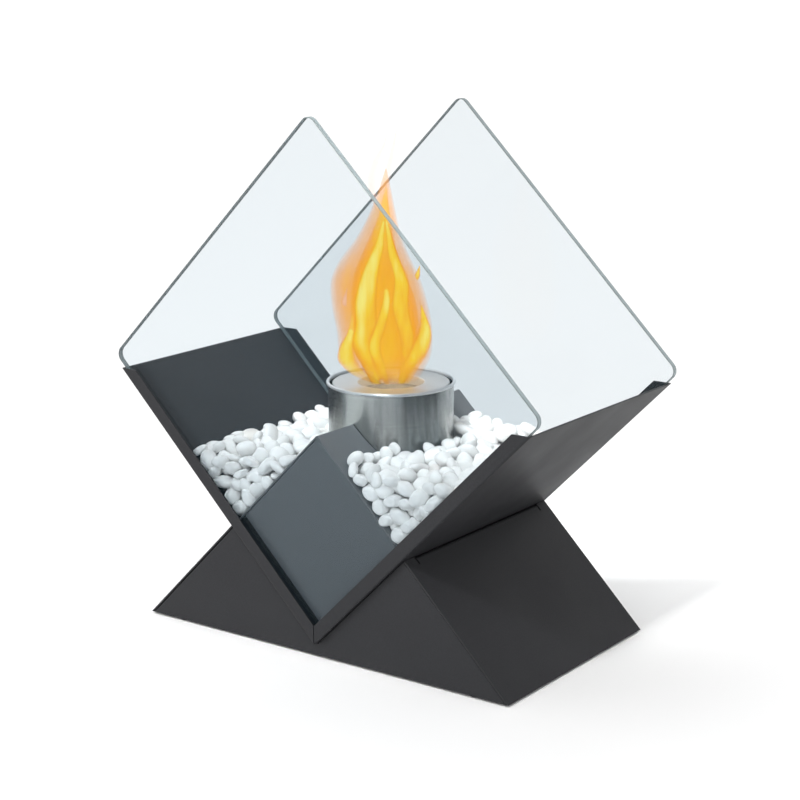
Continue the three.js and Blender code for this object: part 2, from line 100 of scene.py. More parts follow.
# %% Floor
def pale_floor(half=40.0):
    mesh = bpy.data.meshes.new("floor")
    corners = [(-half, -half, 0), (half, -half, 0), (half, half, 0), (-half, half, 0)]
    mesh.from_pydata(corners, [], [(0, 1, 2, 3)])
    floor = bpy.data.objects.new("floor", mesh)
    bpy.context.collection.objects.link(floor)
    finish = bpy.data.materials.new("pale floor")
    finish.use_nodes = True
    shader = finish.node_tree.nodes["Principled BSDF"]
    shader.inputs["Base Color"].default_value = (0.97, 0.97, 0.97, 1)
    shader.inputs["Roughness"].default_value = 0.9
    shader.inputs["Specular IOR Level"].default_value = 0.1
    mesh.materials.append(finish)
    print("Floor:", 2 * half, "m wide")


pale_floor()

# %% [markdown]
# A soft box is an area light that faces the fireplace. The large one, high on the left, draws the
# thin bright lines along the edges of the sheet. The small one has a narrow spread, so that it
# lights the pebbles and little else.

# %% Soft boxes
LIGHTS_AIM = Vector((0, 0, 0.2))


def soft_box(name, azimuth, elevation, distance, size, power, spread=180):
    light = bpy.data.lights.new(name, "AREA")
    light.shape = "RECTANGLE"
    light.size, light.size_y = size
    light.energy = power
    light.spread = math.radians(spread)
    box = bpy.data.objects.new(name, light)
    bpy.context.collection.objects.link(box)
    away = seen_from(math.radians(azimuth), math.radians(elevation))
    box.location = LIGHTS_AIM + distance * away
    box.rotation_euler = away.to_track_quat("Z", "Y").to_euler()
    print(name, "at", [round(value, 2) for value in box.location], "with", power, "W")


soft_box("key_soft_box", azimuth=-35, elevation=52, distance=2.2, size=(1.4, 1.4), power=4)
soft_box(
    "pebble_soft_box",
    azimuth=12, elevation=54, distance=1.3, size=(0.34, 0.24), power=0.39, spread=18,
)

# %% [markdown]
# The world is the white room, which lights from every side. Polished steel and black metal look
# flat when all they reflect is white. Black cards could stand round the fireplace for that. Here
# the room itself is darker in two parts, one high at the back and one low on the right, which
# needs no more objects and fades softly.

# %% A white room with two dark parts
ROOM_BRIGHTNESS = 1.4

world = bpy.data.worlds.new("white_room")
bpy.context.scene.world = world
world.use_nodes = True
room = world.node_tree
direction = room.nodes.new("ShaderNodeTexCoord").outputs["Generated"]


def dark_part(middle, starts, full, darkest):
    """How bright the room is round one direction, 1 far from it and darkest in its middle."""
    nearness = room.nodes.new("ShaderNodeVectorMath")
    nearness.operation = "DOT_PRODUCT"
    nearness.inputs[1].default_value = Vector(middle).normalized()
    room.links.new(direction, nearness.inputs[0])
    fading = room.nodes.new("ShaderNodeMapRange")
    fading.interpolation_type = "SMOOTHSTEP"
    limits = {"From Min": starts, "From Max": full, "To Min": 1, "To Max": darkest}
    for name, value in limits.items():
        fading.inputs[name].default_value = value
    room.links.new(nearness.outputs["Value"], fading.inputs["Value"])
    return fading.outputs["Result"]


def times(a, b):
    product = room.nodes.new("ShaderNodeMath")
    product.operation = "MULTIPLY"
    for socket, value in zip(product.inputs, (a, b)):
        if isinstance(value, float):
            socket.default_value = value
        else:
            room.links.new(value, socket)
    return product.outputs[0]


high_at_the_back = dark_part((0.23, 0.72, 0.66), starts=0.6, full=0.92, darkest=0.5)
low_on_the_right = dark_part((0.97, -0.1, 0.12), starts=0.45, full=0.85, darkest=0.65)
brightness = times(times(high_at_the_back, low_on_the_right), ROOM_BRIGHTNESS)
room.links.new(brightness, room.nodes["Background"].inputs["Strength"])
room.nodes["Background"].inputs["Color"].default_value = (1, 1, 1, 1)
bpy.context.scene.view_settings.view_transform = "Standard"
print("Room brightness:", ROOM_BRIGHTNESS, "with", len(room.nodes), "nodes")

# %% [markdown]
# ## A helper for finishes
# Real finishes are never even, so nearly every one here is made of noise at two or more scales:
# one varies the colour, one the shine, and some a small relief. The helper holds a material and
# adds nodes to it in one line each. The scale of a noise says how many of its waves fit in a
# metre. Most of a noise lies between 0.3 and 0.7, so that span is used wherever no other one is
# given.

# %% A helper for finishes
NOISE_LOW, NOISE_HIGH = 0.3, 0.7


class Finish:
    """A material with its main shader, to which nodes are added by name."""

    def __init__(self, name):
        self.material = bpy.data.materials.new(name)
        self.material.use_nodes = True
        self.tree = self.material.node_tree
        self.shader = self.tree.nodes["Principled BSDF"]
        self.place = self.tree.nodes.new("ShaderNodeTexCoord").outputs["Object"]

    def set(self, **values):
        for name, value in values.items():
            self.shader.inputs[name.replace("_", " ")].default_value = value

    def add(self, kind, inputs=(), **settings):
        node = self.tree.nodes.new("ShaderNode" + kind)
        for name, value in settings.items():
            setattr(node, name, value)
        for name, value in dict(inputs).items():
            if isinstance(value, bpy.types.NodeSocket):
                self.tree.links.new(value, node.inputs[name])
            else:
                node.inputs[name].default_value = value
        return node

    def link(self, output, name):
        self.tree.links.new(output, self.shader.inputs[name])

    def noise(self, scale, detail, place=None, roughness=0.5):
        inputs = {
            "Vector": place or self.place,
            "Scale": scale,
            "Detail": detail,
            "Roughness": roughness,
        }
        return self.add("TexNoise", inputs).outputs["Fac"]

    def stretched(self, factors):
        return self.add("Mapping", {"Vector": self.place, "Scale": factors}).outputs["Vector"]

    def one_axis(self, vector, axis):
        return self.add("SeparateXYZ", {"Vector": vector}).outputs[axis]

    def maths(self, operation, *values):
        return self.add("Math", dict(enumerate(values)), operation=operation).outputs[0]

    def mix(self, factor, a, b, blend="MIX"):
        inputs = {"Factor": factor, "A": a, "B": b}
        return self.add("Mix", inputs, data_type="RGBA", blend_type=blend).outputs[2]

    def ramp(self, value, stops):
        node = self.add("ValToRGB", {"Fac": value})
        elements = node.color_ramp.elements
        for element, (position, colour) in zip(elements, stops):
            element.position, element.color = position, (*colour, 1)
        for position, colour in stops[2:]:
            elements.new(position).color = (*colour, 1)
        return node.outputs["Color"]

    def two_tone(self, value, dark, light, low=NOISE_LOW, high=NOISE_HIGH):
        return self.ramp(value, [(low, dark), (high, light)])

    def span(self, value, low, high, to_low, to_high):
        inputs = {
            "Value": value,
            "From Min": low,
            "From Max": high,
            "To Min": to_low,
            "To Max": to_high,
        }
        return self.add("MapRange", inputs).outputs["Result"]

    def varied(self, noise, least, most):
        return self.span(noise, NOISE_LOW, NOISE_HIGH, least, most)

    def bumps(self, height, distance, strength, normal=None):
        inputs = {"Height": height, "Distance": distance, "Strength": strength}
        if normal:
            inputs["Normal"] = normal
        return self.add("Bump", inputs).outputs["Normal"]

    def rounded_edges(self, radius, samples=6):
        return self.add("Bevel", {"Radius": radius}, samples=samples).outputs["Normal"]


def grey(value):
    return (value, value, value)


def dress(finish, *names):
    """Gives nodes of the CAD model a finish."""
    for name in names:
        nodes[name].data.materials.clear()
        nodes[name].data.materials.append(finish.material)
    print(finish.material.name, "on", len(names), "CAD nodes")


# %% [markdown]
# ## Powder coated steel
# The trough, the base and the burner housing are folded steel sheet with a fine black powder
# coat. Powder melts into a skin with tiny even bumps, so the shine is broken up and the edges of
# the sheet catch a thin line of light. Noise at the scale of the powder makes the bumps, slow
# noise varies the shine, and a bevel node rounds the sharp edges of the CAD solid for the shading
# alone.

# %% Powder coat
POWDER_BUMPS = 1700
POWDER_SPECKS = 1500
SLOW_CHANGE = 14
EDGE_RADIUS = 0.0005

powder_coat = Finish("black powder coat")
powder_grain = powder_coat.noise(POWDER_BUMPS, 2)
slow_change = powder_coat.noise(SLOW_CHANGE, 3)
powder_coat.link(
    powder_coat.two_tone(
        powder_coat.noise(POWDER_SPECKS, 3),
        dark=(0.009, 0.0093, 0.0112), light=(0.019, 0.0195, 0.0228), low=0.32,
    ),
    "Base Color",
)
powder_coat.link(powder_coat.varied(slow_change, 0.5, 0.6), "Roughness")
powder_coat.set(Specular_IOR_Level=0.34)
powder_edges = powder_coat.rounded_edges(EDGE_RADIUS)
powder_bumps = powder_coat.bumps(
    powder_grain, distance=0.00001, strength=0.25, normal=powder_edges
)
powder_coat.link(powder_bumps, "Normal")
dress(
    powder_coat,
    "trough",
    "base_front_panel",
    "base_rear_panel",
    "base_right_slope",
    "base_left_slope",
    "burner_shelf",
)

# %% [markdown]
# ## Satin coat of the housing, with painted light
# The housing round the burner has a smoother coat than the trough, painted grey where the trough
# is black: the grey is painted light, for the light that reaches the plate through the glass and
# the roof from the flame and the stones. Its front plate is even and satin, and its roof is painted
# lighter still and shows the powder as light specks. Both are one recipe with two pairs of colours,
# so a function makes them.


# %% Satin coat of the housing, with painted light
# Painted light: a grey coat in place of the black one, for the light that falls on the housing.
def housing_coat_painted_light(name, dark, light):
    finish = Finish(name)
    specks = finish.noise(1400, 3)
    finish.link(finish.two_tone(specks, dark, light, low=0.35, high=0.68), "Base Color")
    finish.link(finish.varied(finish.noise(SLOW_CHANGE, 3), 0.46, 0.54), "Roughness")
    finish.set(Specular_IOR_Level=0.45)
    finish.link(finish.rounded_edges(EDGE_RADIUS), "Normal")
    return finish


# Painted light: the plate and the roof are painted lighter than the black trough, the roof most.
satin_plate_painted_light = housing_coat_painted_light("satin coat with painted light", (0.088, 0.094, 0.102), (0.096, 0.103, 0.111))
speckled_roof_painted_light = housing_coat_painted_light("speckled coat with painted light", (0.09, 0.095, 0.1), (0.2, 0.208, 0.216))
dress(satin_plate_painted_light, "housing_front_plate", "housing_rear_plate")
dress(speckled_roof_painted_light, "housing_roof")

# %% [markdown]
# ## Glass
# The panes are clear tempered glass, 5 mm thick, with ground edges. Refraction through a flat
# sheet only shifts what is behind it by a millimetre, and it makes a render noisy. So the faces
# are a thin see-through film here, which lets nearly all light pass and shines more where it is
# seen at a low angle. A thin film also thins its own shine, so its index is above the 1.5 of real
# glass. Glass takes a little red out of the light on its way through, which absorption inside the
# sheet does. Light that travels inside the sheet leaves at its edges, so these are solid and
# grey-green, and the narrow chamfers beside them are darker.

# %% Glass
GLASS_INDEX = 1.9
GLASS_THROUGH = (0.1, 0.55, 0.78, 1)
GLASS_DENSITY = 17
FACE_TINT = (0.03, 0.06, 0.08)
EDGE_TINT = (0.19, 0.24, 0.25)
CHAMFER_TINT = (0.07, 0.1, 0.1)

clear_glass = Finish("clear tempered glass")
clear_glass.set(IOR=GLASS_INDEX)
face_normal = clear_glass.add("NewGeometry").outputs["True Normal"]
facing = clear_glass.maths("ABSOLUTE", clear_glass.one_axis(face_normal, "Y"))
ground_edge = clear_glass.span(facing, 0.8, 0.95, 1.0, 0.0)
chamfer = clear_glass.span(facing, 0.3, 0.6, 0.0, 1.0)


def glass_tint(colour, scale):
    darker = tuple(0.94 * part for part in colour)
    return clear_glass.two_tone(clear_glass.noise(scale, 2), darker, colour)


edge_tint = clear_glass.mix(chamfer, glass_tint(EDGE_TINT, 300), glass_tint(CHAMFER_TINT, 300))
pane_tint = clear_glass.mix(ground_edge, glass_tint(FACE_TINT, 3), edge_tint)
clear_glass.link(pane_tint, "Base Color")
low_angle = clear_glass.add("LayerWeight", {"Blend": 0.15}).outputs["Fresnel"]
film = clear_glass.span(low_angle, 0.03, 0.9, 0.09, 0.75)
edge_film = clear_glass.span(ground_edge, 0, 1, 0, 0.9)
clear_glass.link(clear_glass.maths("MAXIMUM", film, edge_film), "Alpha")
clear_glass.link(clear_glass.span(ground_edge, 0, 1, 0.02, 0.7), "Roughness")
through = clear_glass.add("VolumeAbsorption", {"Color": GLASS_THROUGH, "Density": GLASS_DENSITY})
output = clear_glass.tree.nodes["Material Output"]
clear_glass.tree.links.new(through.outputs["Volume"], output.inputs["Volume"])
dress(clear_glass, "front_glass", "rear_glass")

# %% [markdown]
# ## Burner
# The burner is a drawn stainless steel cup with a rolled rim, and its cover ring is pressed from
# sheet. Both are turned shapes. A profile could be spun with a screw modifier, but then the
# fillets need another one. Here the profile gets its arcs first and is then turned about the
# upright axis, so that every radius is the one that is written down.


# %% Spinning a profile
def smooth_piece(name, vertices, faces):
    """A mesh object with smooth shading."""
    mesh = bpy.data.meshes.new(name)
    mesh.from_pydata(vertices, [], faces)
    mesh.shade_smooth()
    piece = bpy.data.objects.new(name, mesh)
    bpy.context.collection.objects.link(piece)
    print(name, "has", len(vertices), "vertices")
    return piece


def spun(name, profile, steps=128):
    """A closed profile of (radius, height) points, turned about the upright axis."""
    count = len(profile)
    vertices = []
    for step in range(steps):
        angle = 2 * math.pi * step / steps
        vertices += [(r * math.cos(angle), r * math.sin(angle), z) for r, z in profile]
    faces = []
    for step in range(steps):
        here, there = step * count, (step + 1) % steps * count
        for i in range(count):
            j = (i + 1) % count
            faces.append((here + i, there + i, there + j, here + j))
    return smooth_piece(name, vertices, faces)


def rounded(corners, steps=6):
    """A profile through (radius, height, fillet) corners, with arcs at the corners."""
    points = []
    for i, (r, z, fillet) in enumerate(corners):
        here = Vector((r, z))
        back = (Vector(corners[i - 1][:2]) - here).normalized()
        on = (Vector(corners[(i + 1) % len(corners)][:2]) - here).normalized()
        half = back.angle(on) / 2
        reach = fillet / math.tan(half)
        start, end = here + back * reach, here + on * reach
        for step in range(steps + 1):
            t = step / steps
            points.append(tuple((1 - t) ** 2 * start + 2 * t * (1 - t) * here + t * t * end))
    return points


# %% [markdown]
# The sleeve's wall stands on a narrower foot and ends in a bead, the rolled rim. Its height and
# the rim's radius are read from the CAD model, so that the turned sleeve fits the same place. The
# hole in the middle of its floor is half a millimetre wide, because a profile that touches the
# axis gives faces with no area.

# %% Sleeve
sleeve_low, sleeve_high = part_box("burner_sleeve")
RIM_RADIUS = sleeve_high[0]
RIM_TOP = sleeve_high[2]
SLEEVE_BOTTOM = sleeve_low[2]
SLEEVE_RADIUS = 0.052
SLEEVE_INSIDE = 0.051
FOOT_RADIUS = 0.045
FOOT_INSIDE = 0.0425
AXIS_HOLE = 0.0005
FLOOR_UNDER = SLEEVE_BOTTOM + 0.0025
FLOOR_TOP = SLEEVE_BOTTOM + 0.0035
BEAD = 0.0026
NECK = RIM_TOP - BEAD
BEAD_FILLET = 0.00125
FOLD_FILLET = 0.0004
FINE = 0.00015

sleeve = spun("brushed_sleeve", rounded([
    (FOOT_RADIUS, SLEEVE_BOTTOM, FINE),
    (SLEEVE_RADIUS, SLEEVE_BOTTOM, 0.0015),
    (SLEEVE_RADIUS, NECK, FOLD_FILLET),
    (RIM_RADIUS, NECK, BEAD_FILLET),
    (RIM_RADIUS, RIM_TOP, BEAD_FILLET),
    (SLEEVE_INSIDE, RIM_TOP, BEAD_FILLET),
    (SLEEVE_INSIDE, FLOOR_TOP, 0.001),
    (AXIS_HOLE, FLOOR_TOP, FINE),
    (AXIS_HOLE, FLOOR_UNDER, FINE),
    (FOOT_INSIDE, FLOOR_UNDER, FINE),
]))
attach(sleeve, "burner")
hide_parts("burner_sleeve")
print("Burner rim at", round(RIM_TOP, 4), "radius", round(RIM_RADIUS, 4))

# %% [markdown]
# The cover ring is one sheet, folded down round its mouth to a long neck and round its outside to
# a short collar. Its profile is that of the bent sheet, with a fillet where the press rounds it.

# %% Cover ring
ring_low, ring_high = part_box("burner_cover_ring")
RING_RADIUS = ring_high[0]
RING_TOP = ring_high[2]
RING_BOTTOM = ring_low[2]
MOUTH_RADIUS = 0.0273
SHEET = 0.001
COLLAR = 0.005
PRESS_FILLET = 0.0012

cover_ring = spun("cover_ring", rounded([
    (MOUTH_RADIUS, RING_BOTTOM, FINE),
    (MOUTH_RADIUS + SHEET, RING_BOTTOM, FINE),
    (MOUTH_RADIUS + SHEET, RING_TOP - SHEET, FOLD_FILLET),
    (RING_RADIUS - SHEET, RING_TOP - SHEET, FOLD_FILLET),
    (RING_RADIUS - SHEET, RING_TOP - COLLAR, FINE),
    (RING_RADIUS, RING_TOP - COLLAR, FINE),
    (RING_RADIUS, RING_TOP, PRESS_FILLET),
    (MOUTH_RADIUS, RING_TOP, PRESS_FILLET),
]))
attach(cover_ring, "burner")
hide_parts("burner_cover_ring")
print("Cover ring at", round(RING_TOP, 4), "radius", round(RING_RADIUS, 4))

# %% [markdown]
# ## Brushed steel
# The cup is brushed round and round, which leaves fine level lines and pulls reflections into
# upright bands. Lines as fine as the real ones are smaller than a pixel and turn into a coarse
# false pattern, so these are a little longer and fainter, and the shader's own anisotropy pulls
# the reflections. Drawing the cup leaves faint upright streaks. One side of the cup is painted
# darker and bluer, as painted shade, and another is painted lighter, as a painted highlight. Both
# are painted reflection, for the darker and the lighter parts of the room that the cup reflects.

# %% Brushed steel
LEVEL_LINES = 1500
# Painted reflection: one tint darkens and blues one side of the cup, the other lightens another.
PAINTED_SHADE_TINT = (0.56, 0.6, 0.62, 1)
PAINTED_LIGHT_TINT = (1.35, 1.35, 1.32, 1)
RIM_COLOUR = (0.72, 0.73, 0.74, 1)

brushed = Finish("brushed stainless steel")
level = brushed.stretched((1, 1, LEVEL_LINES))
fine_lines = brushed.noise(0.55, 2, level, 0.6)
wide_lines = brushed.noise(0.25, 2, level)
lines = brushed.two_tone(fine_lines, (0.35, 0.35, 0.34), (0.5, 0.5, 0.48), low=0.25, high=0.8)


def towards(azimuth, starts, full):
    """1 on the side of the cup that faces an azimuth, fading to 0 round it."""
    azimuth = math.radians(azimuth)
    way = (math.sin(azimuth) / SLEEVE_RADIUS, -math.cos(azimuth) / SLEEVE_RADIUS, 0)
    inputs = {0: brushed.place, 1: way}
    nearness = brushed.add("VectorMath", inputs, operation="DOT_PRODUCT").outputs["Value"]
    low, high = math.cos(math.radians(starts)), math.cos(math.radians(full))
    return brushed.span(nearness, low, high, 0.0, 1.0)


upright = brushed.noise(70, 2, brushed.stretched((1, 1, 0.04)))
drawn = brushed.two_tone(upright, grey(0.7), grey(1.0), low=0.4, high=0.6)
# Painted shade on the side to the right, and a painted highlight on the side to the front.
painted_shade_side = towards(azimuth=68, starts=32, full=14)
painted_light_side = towards(azimuth=-4, starts=26, full=12)
lines = brushed.mix(1.0, lines, drawn, "MULTIPLY")
# The painted shade and the painted highlight are multiplied into the colour here.
lines = brushed.mix(painted_shade_side, lines, PAINTED_SHADE_TINT, "MULTIPLY")
lines = brushed.mix(painted_light_side, lines, PAINTED_LIGHT_TINT, "MULTIPLY")
height = brushed.one_axis(brushed.place, "Z")
rolled_rim = brushed.span(height, NECK - 0.0004, NECK + 0.0002, 0.0, 1.0)
brushed.link(brushed.mix(rolled_rim, lines, RIM_COLOUR), "Base Color")
brushed.set(Metallic=1.0, Anisotropic=0.9, Anisotropic_Rotation=0.25)
wall_roughness = brushed.varied(wide_lines, 0.18, 0.26)
rim_roughness = brushed.span(rolled_rim, 0.0, 1.0, 0.0, 0.4)
brushed.link(brushed.maths("MAXIMUM", wall_roughness, rim_roughness), "Roughness")
brushed.link(brushed.bumps(fine_lines, distance=0.000003, strength=0.3), "Normal")
round_the_cup = brushed.add("Tangent", direction_type="RADIAL", axis="Z").outputs["Tangent"]
brushed.link(round_the_cup, "Tangent")
sleeve.data.materials.append(brushed.material)
dress(brushed, "burner_reservoir")

# %% [markdown]
# ## Matt steel
# The cover ring isn't brushed. Pressing and heat leave it matt with a very fine grain, so its
# colour, shine and relief vary with noise that has no direction.

# %% Matt steel
matt = Finish("matt pressed steel")
matt.set(Metallic=0.9)
matt.link(matt.two_tone(matt.noise(900, 3), (0.52, 0.53, 0.54), (0.6, 0.61, 0.62)), "Base Color")
matt.link(matt.varied(matt.noise(60, 4), 0.42, 0.55), "Roughness")
matt.link(matt.bumps(matt.noise(1800, 2), distance=0.00003, strength=0.5), "Normal")
cover_ring.data.materials.append(matt.material)
print(matt.material.name, "on", cover_ring.name)

# %% [markdown]
# ## Ceramic wool, screws, nuts and pads
# The reservoir holds a block of white ceramic wool that soaks up the fuel. It is soft and
# fibrous, so its relief is deep for its scale and it has no shine. The screws under the base are
# blackened steel, the nuts are zinc plated, and the pads are rubber. These three are small and
# mostly hidden, so one recipe with other numbers does for all.

# %% Small finishes
wool = Finish("ceramic wool")
wool.link(wool.two_tone(wool.noise(500, 6), (0.62, 0.58, 0.52), (0.88, 0.86, 0.82)), "Base Color")
wool.set(Roughness=1.0)
wool.link(wool.bumps(wool.noise(700, 8), distance=0.0006, strength=0.8), "Normal")
dress(wool, "ceramic_wool")


def small_finish(name, prefix, metallic, colours, colour_scale, roughness, shine_scale):
    """A finish for all CAD nodes whose names start with a prefix."""
    finish = Finish(name)
    finish.set(Metallic=metallic)
    finish.link(finish.two_tone(finish.noise(colour_scale, 4), *colours), "Base Color")
    finish.link(finish.varied(finish.noise(shine_scale, 3), *roughness), "Roughness")
    dress(finish, *[node for node in nodes if node.startswith(prefix)])


BLACKENED = (grey(0.02), grey(0.045))
ZINC = ((0.5, 0.52, 0.54), (0.62, 0.63, 0.64))
RUBBER = (grey(0.012), grey(0.022))
small_finish("black oxide steel", "screw_", 0.8, BLACKENED, 700, (0.35, 0.55), 900)
small_finish("zinc plate", "nut_", 1.0, ZINC, 400, (0.25, 0.45), 700)
small_finish("black rubber", "foot_pad_", 0.0, RUBBER, 900, (0.75, 0.95), 500)

# %% [markdown]
# ## Pebbles
# The trough is filled with tumbled white pebbles, 10 to 18 mm long. In a heap each stone rests on
# others and leans on the walls, which a random scatter doesn't give. Blender's rigid bodies could
# settle them, but that is slow and can differ from run to run. Here balls as large as the stones
# sink step by step and push each other apart inside the walls: the slope of the trough, the roof
# of the housing, the panes and the burner.

# %% The walls that hold the pebbles
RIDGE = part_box("housing_roof")[1][2]
GLASS_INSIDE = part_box("rear_glass")[0][1]
TROUGH_FLOOR = 0.01392
SLOPE = math.sqrt(0.5)
BURNER_CLEAR = RIM_RADIUS + 0.0005
VALLEY_X, VALLEY_Z = 0.0858, 0.0995
print("Ridge at", round(RIDGE, 4), "and glass at", round(GLASS_INSIDE, 4))

# %% Settling balls
SMALLEST, LARGEST = 0.0049, 0.0075
POUR_WIDTH = 0.92
POUR_LOW, POUR_ABOVE = 0.105, 0.02
FIRST_SINK, LAST_SINK = 0.0012, 0.00005
PUSHES = 3
PUSH_SHARE = 0.35


def settle(count, top, seed, rounds=60):
    """Centres and radii of balls that came to rest in the right side of the trough."""
    chance = np.random.default_rng(seed)
    radius = chance.uniform(SMALLEST, LARGEST, count)
    y = chance.uniform(-GLASS_INSIDE, GLASS_INSIDE, count) * POUR_WIDTH
    z = chance.uniform(POUR_LOW, top + POUR_ABOVE, count)
    x = VALLEY_X + chance.uniform(-1, 1, count) * (z - VALLEY_Z)
    ball = np.stack([x, y, z], 1)
    for step in range(rounds):
        ball[:, 2] -= FIRST_SINK * (1 - step / rounds) + LAST_SINK
        for _ in range(PUSHES):
            push_apart(ball, radius)
            push_inside(ball, radius)
    return ball, radius


def push_apart(ball, radius):
    """Moves balls that overlap away from each other."""
    gap = ball[:, None] - ball[None]
    distance = np.sqrt((gap**2).sum(2)) + np.eye(len(ball))
    overlap = np.maximum(radius[:, None] + radius[None] - distance, 0)
    np.fill_diagonal(overlap, 0)
    ball += PUSH_SHARE * (gap / distance[..., None] * overlap[..., None]).sum(1)


def push_inside(ball, radius):
    """Moves balls back from the trough, the roof, the panes and the burner."""
    off_wall = SLOPE * (ball[:, 2] - ball[:, 0] - TROUGH_FLOOR) - radius
    push = np.maximum(-off_wall, 0) * SLOPE
    ball[:, 0] -= push
    ball[:, 2] += push
    off_roof = SLOPE * (ball[:, 2] + ball[:, 0] - RIDGE) - radius
    push = np.maximum(-off_roof, 0) * SLOPE
    ball[:, 0] += push
    ball[:, 2] += push
    reach = GLASS_INSIDE - radius
    ball[:, 1] = np.clip(ball[:, 1], -reach, reach)
    out = np.hypot(ball[:, 0], ball[:, 1])
    grow = np.maximum(BURNER_CLEAR + radius - out, 0) / out
    ball[:, :2] += ball[:, :2] * grow[:, None]


print("Balls are", 2000 * SMALLEST, "to", 2000 * LARGEST, "mm across")

# %% [markdown]
# Each ball becomes a stone. Tumbling wears a stone down to a flattened, slightly uneven egg, so a
# sphere gets soft dents from a few slow waves, three different lengths and a turn of its own. A
# displacement modifier could dent it too, but one mesh of all stones is lighter than hundreds of
# objects. What would reach through a pane or the trough's wall is pressed back to it.

# %% Shaping the stones
DENT = 0.15
DENT_WAVES = (1.6, 2.2, 2.8, 3.6, 4.6)
LENGTHS, WIDTHS, HEIGHTS = (1.12, 1.5), (0.98, 1.2), (0.62, 0.88)
TILT = 0.6
FULL_TURN = 6.28
GLASS_GAP = 0.0003
WALL_GAP = 0.0006


def stone_template():
    shape = bmesh.new()
    bmesh.ops.create_icosphere(shape, subdivisions=3, radius=1)
    vertices = np.array([vertex.co[:] for vertex in shape.verts])
    faces = np.array([[vertex.index for vertex in face.verts] for face in shape.faces])
    shape.free()
    return vertices, faces


def stones(name, ball, radius, seed):
    """One mesh of stones in place of balls."""
    chance = np.random.default_rng(seed)
    vertices, faces = stone_template()
    all_vertices, all_faces = [], []
    for centre, size in zip(ball, radius):
        dents = np.zeros(len(vertices))
        for wave in DENT_WAVES:
            way = chance.normal(size=3)
            way /= np.linalg.norm(way)
            dents += DENT / wave * np.sin(wave * vertices @ way + chance.uniform(0, FULL_TURN))
        length = chance.uniform(*LENGTHS)
        width = chance.uniform(*WIDTHS)
        height = chance.uniform(*HEIGHTS)
        shape = vertices * (1 + dents)[:, None] * np.array([length, width, height]) * size
        tilt = chance.normal(0, TILT, 2)
        turn = Euler((tilt[0], tilt[1], chance.uniform(0, FULL_TURN)), "ZXY").to_matrix()
        all_faces.append(faces + len(vertices) * len(all_vertices))
        all_vertices.append(shape @ np.array(turn).T + centre)
    points = np.concatenate(all_vertices)
    points[:, 1] = np.clip(points[:, 1], -GLASS_INSIDE + GLASS_GAP, GLASS_INSIDE - GLASS_GAP)
    side = np.abs(points[:, 0])
    sunk = np.maximum(TROUGH_FLOOR + WALL_GAP + side - points[:, 2], 0) / 2
    points[:, 0] -= np.sign(points[:, 0]) * sunk
    points[:, 2] += sunk
    return smooth_piece(name, points.tolist(), np.concatenate(all_faces).tolist())


# %% [markdown]
# The right heap lies higher than the left one. Both settle in the same walls, and the left one is
# then given half a turn about the upright axis, since the trough is the same on both sides.
# Stones above the top of the heap are taken away, and that top slopes a little down to the wall.

# %% Filling both sides
HEAP_SLOPE = 0.06
SLOPE_STARTS = 0.07


def fill(name, node, count, top, seed, half_turn):
    ball, radius = settle(count, top, seed)
    shown = ball[:, 2] < top - HEAP_SLOPE * np.maximum(ball[:, 0] - SLOPE_STARTS, 0)
    ball, radius = ball[shown], radius[shown]
    if half_turn:
        ball = ball * np.array([-1, -1, 1])
    piece = stones(name, ball, radius, seed)
    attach(piece, "stand")
    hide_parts(node)
    print(name, "stones:", len(ball), "highest centre:", round(float(ball[:, 2].max()), 4))
    return piece


right_stones = fill(
    "white_pebbles_right", "pebbles_right", count=640, top=0.1685, seed=11, half_turn=False
)
left_stones = fill(
    "white_pebbles_left", "pebbles_left", count=480, top=0.158, seed=12, half_turn=True
)

# %% [markdown]
# ## Stone finish
# The stones are white with a faint grain, and a few are creamier. A material for each tone would
# need the heap split up. Blender can tell the separate islands of one mesh apart, so that number
# picks each stone's tone.

# %% Stone finish
stone = Finish("tumbled white stone")
each_stone = stone.add("NewGeometry").outputs["Random Per Island"]
stone_tint = stone.ramp(each_stone, [
    (0.0, (0.96, 0.95, 0.935)),
    (0.95, (0.98, 0.97, 0.955)),
    (0.97, (0.94, 0.9, 0.85)),
    (1.0, (0.95, 0.9, 0.87)),
])
grain = stone.two_tone(stone.noise(160, 5), grey(0.94), grey(1.0), low=0.35, high=0.6)
stone.link(stone.mix(1.0, stone_tint, grain, "MULTIPLY"), "Base Color")
stone.link(stone.varied(stone.noise(300, 3), 0.38, 0.58), "Roughness")
stone.link(stone.bumps(stone.noise(420, 4), distance=0.0003, strength=0.3), "Normal")
right_stones.data.materials.append(stone.material)
left_stones.data.materials.append(stone.material)
print(stone.material.name, "on", right_stones.name, "and", left_stones.name)

# %% [markdown]
# ## Flame
# A flame is glowing gas with no surface. A volume could show it, but it is slow to render and
# can't be exported as a mesh. It is drawn here as a bunch of tongues, thin closed shells that
# fade to nothing where they are seen edge on, so they look soft outside and thick in the middle.

# %% Flame tongues
TO_RIGHT = Vector((0.808, 0.589, 0))
TO_BACK = Vector((-0.589, 0.808, 0))
LEAN = (0.45, 0.9, 1.0, 0.95, 0.6)
THINNEST = 0.1


def smooth(values, t):
    """The value at t from 0 to 1 on a smooth curve through evenly spaced values."""
    at = t * (len(values) - 1)
    i = min(int(at), len(values) - 2)
    u = at - i
    before, a, b, after = (values[min(max(i + k, 0), len(values) - 1)] for k in (-1, 0, 1, 2))
    return 0.5 * (
        2 * a
        + (b - before) * u
        + (2 * before - 5 * a + 4 * b - after) * u * u
        + (3 * a - before - 3 * b + after) * u**3
    )


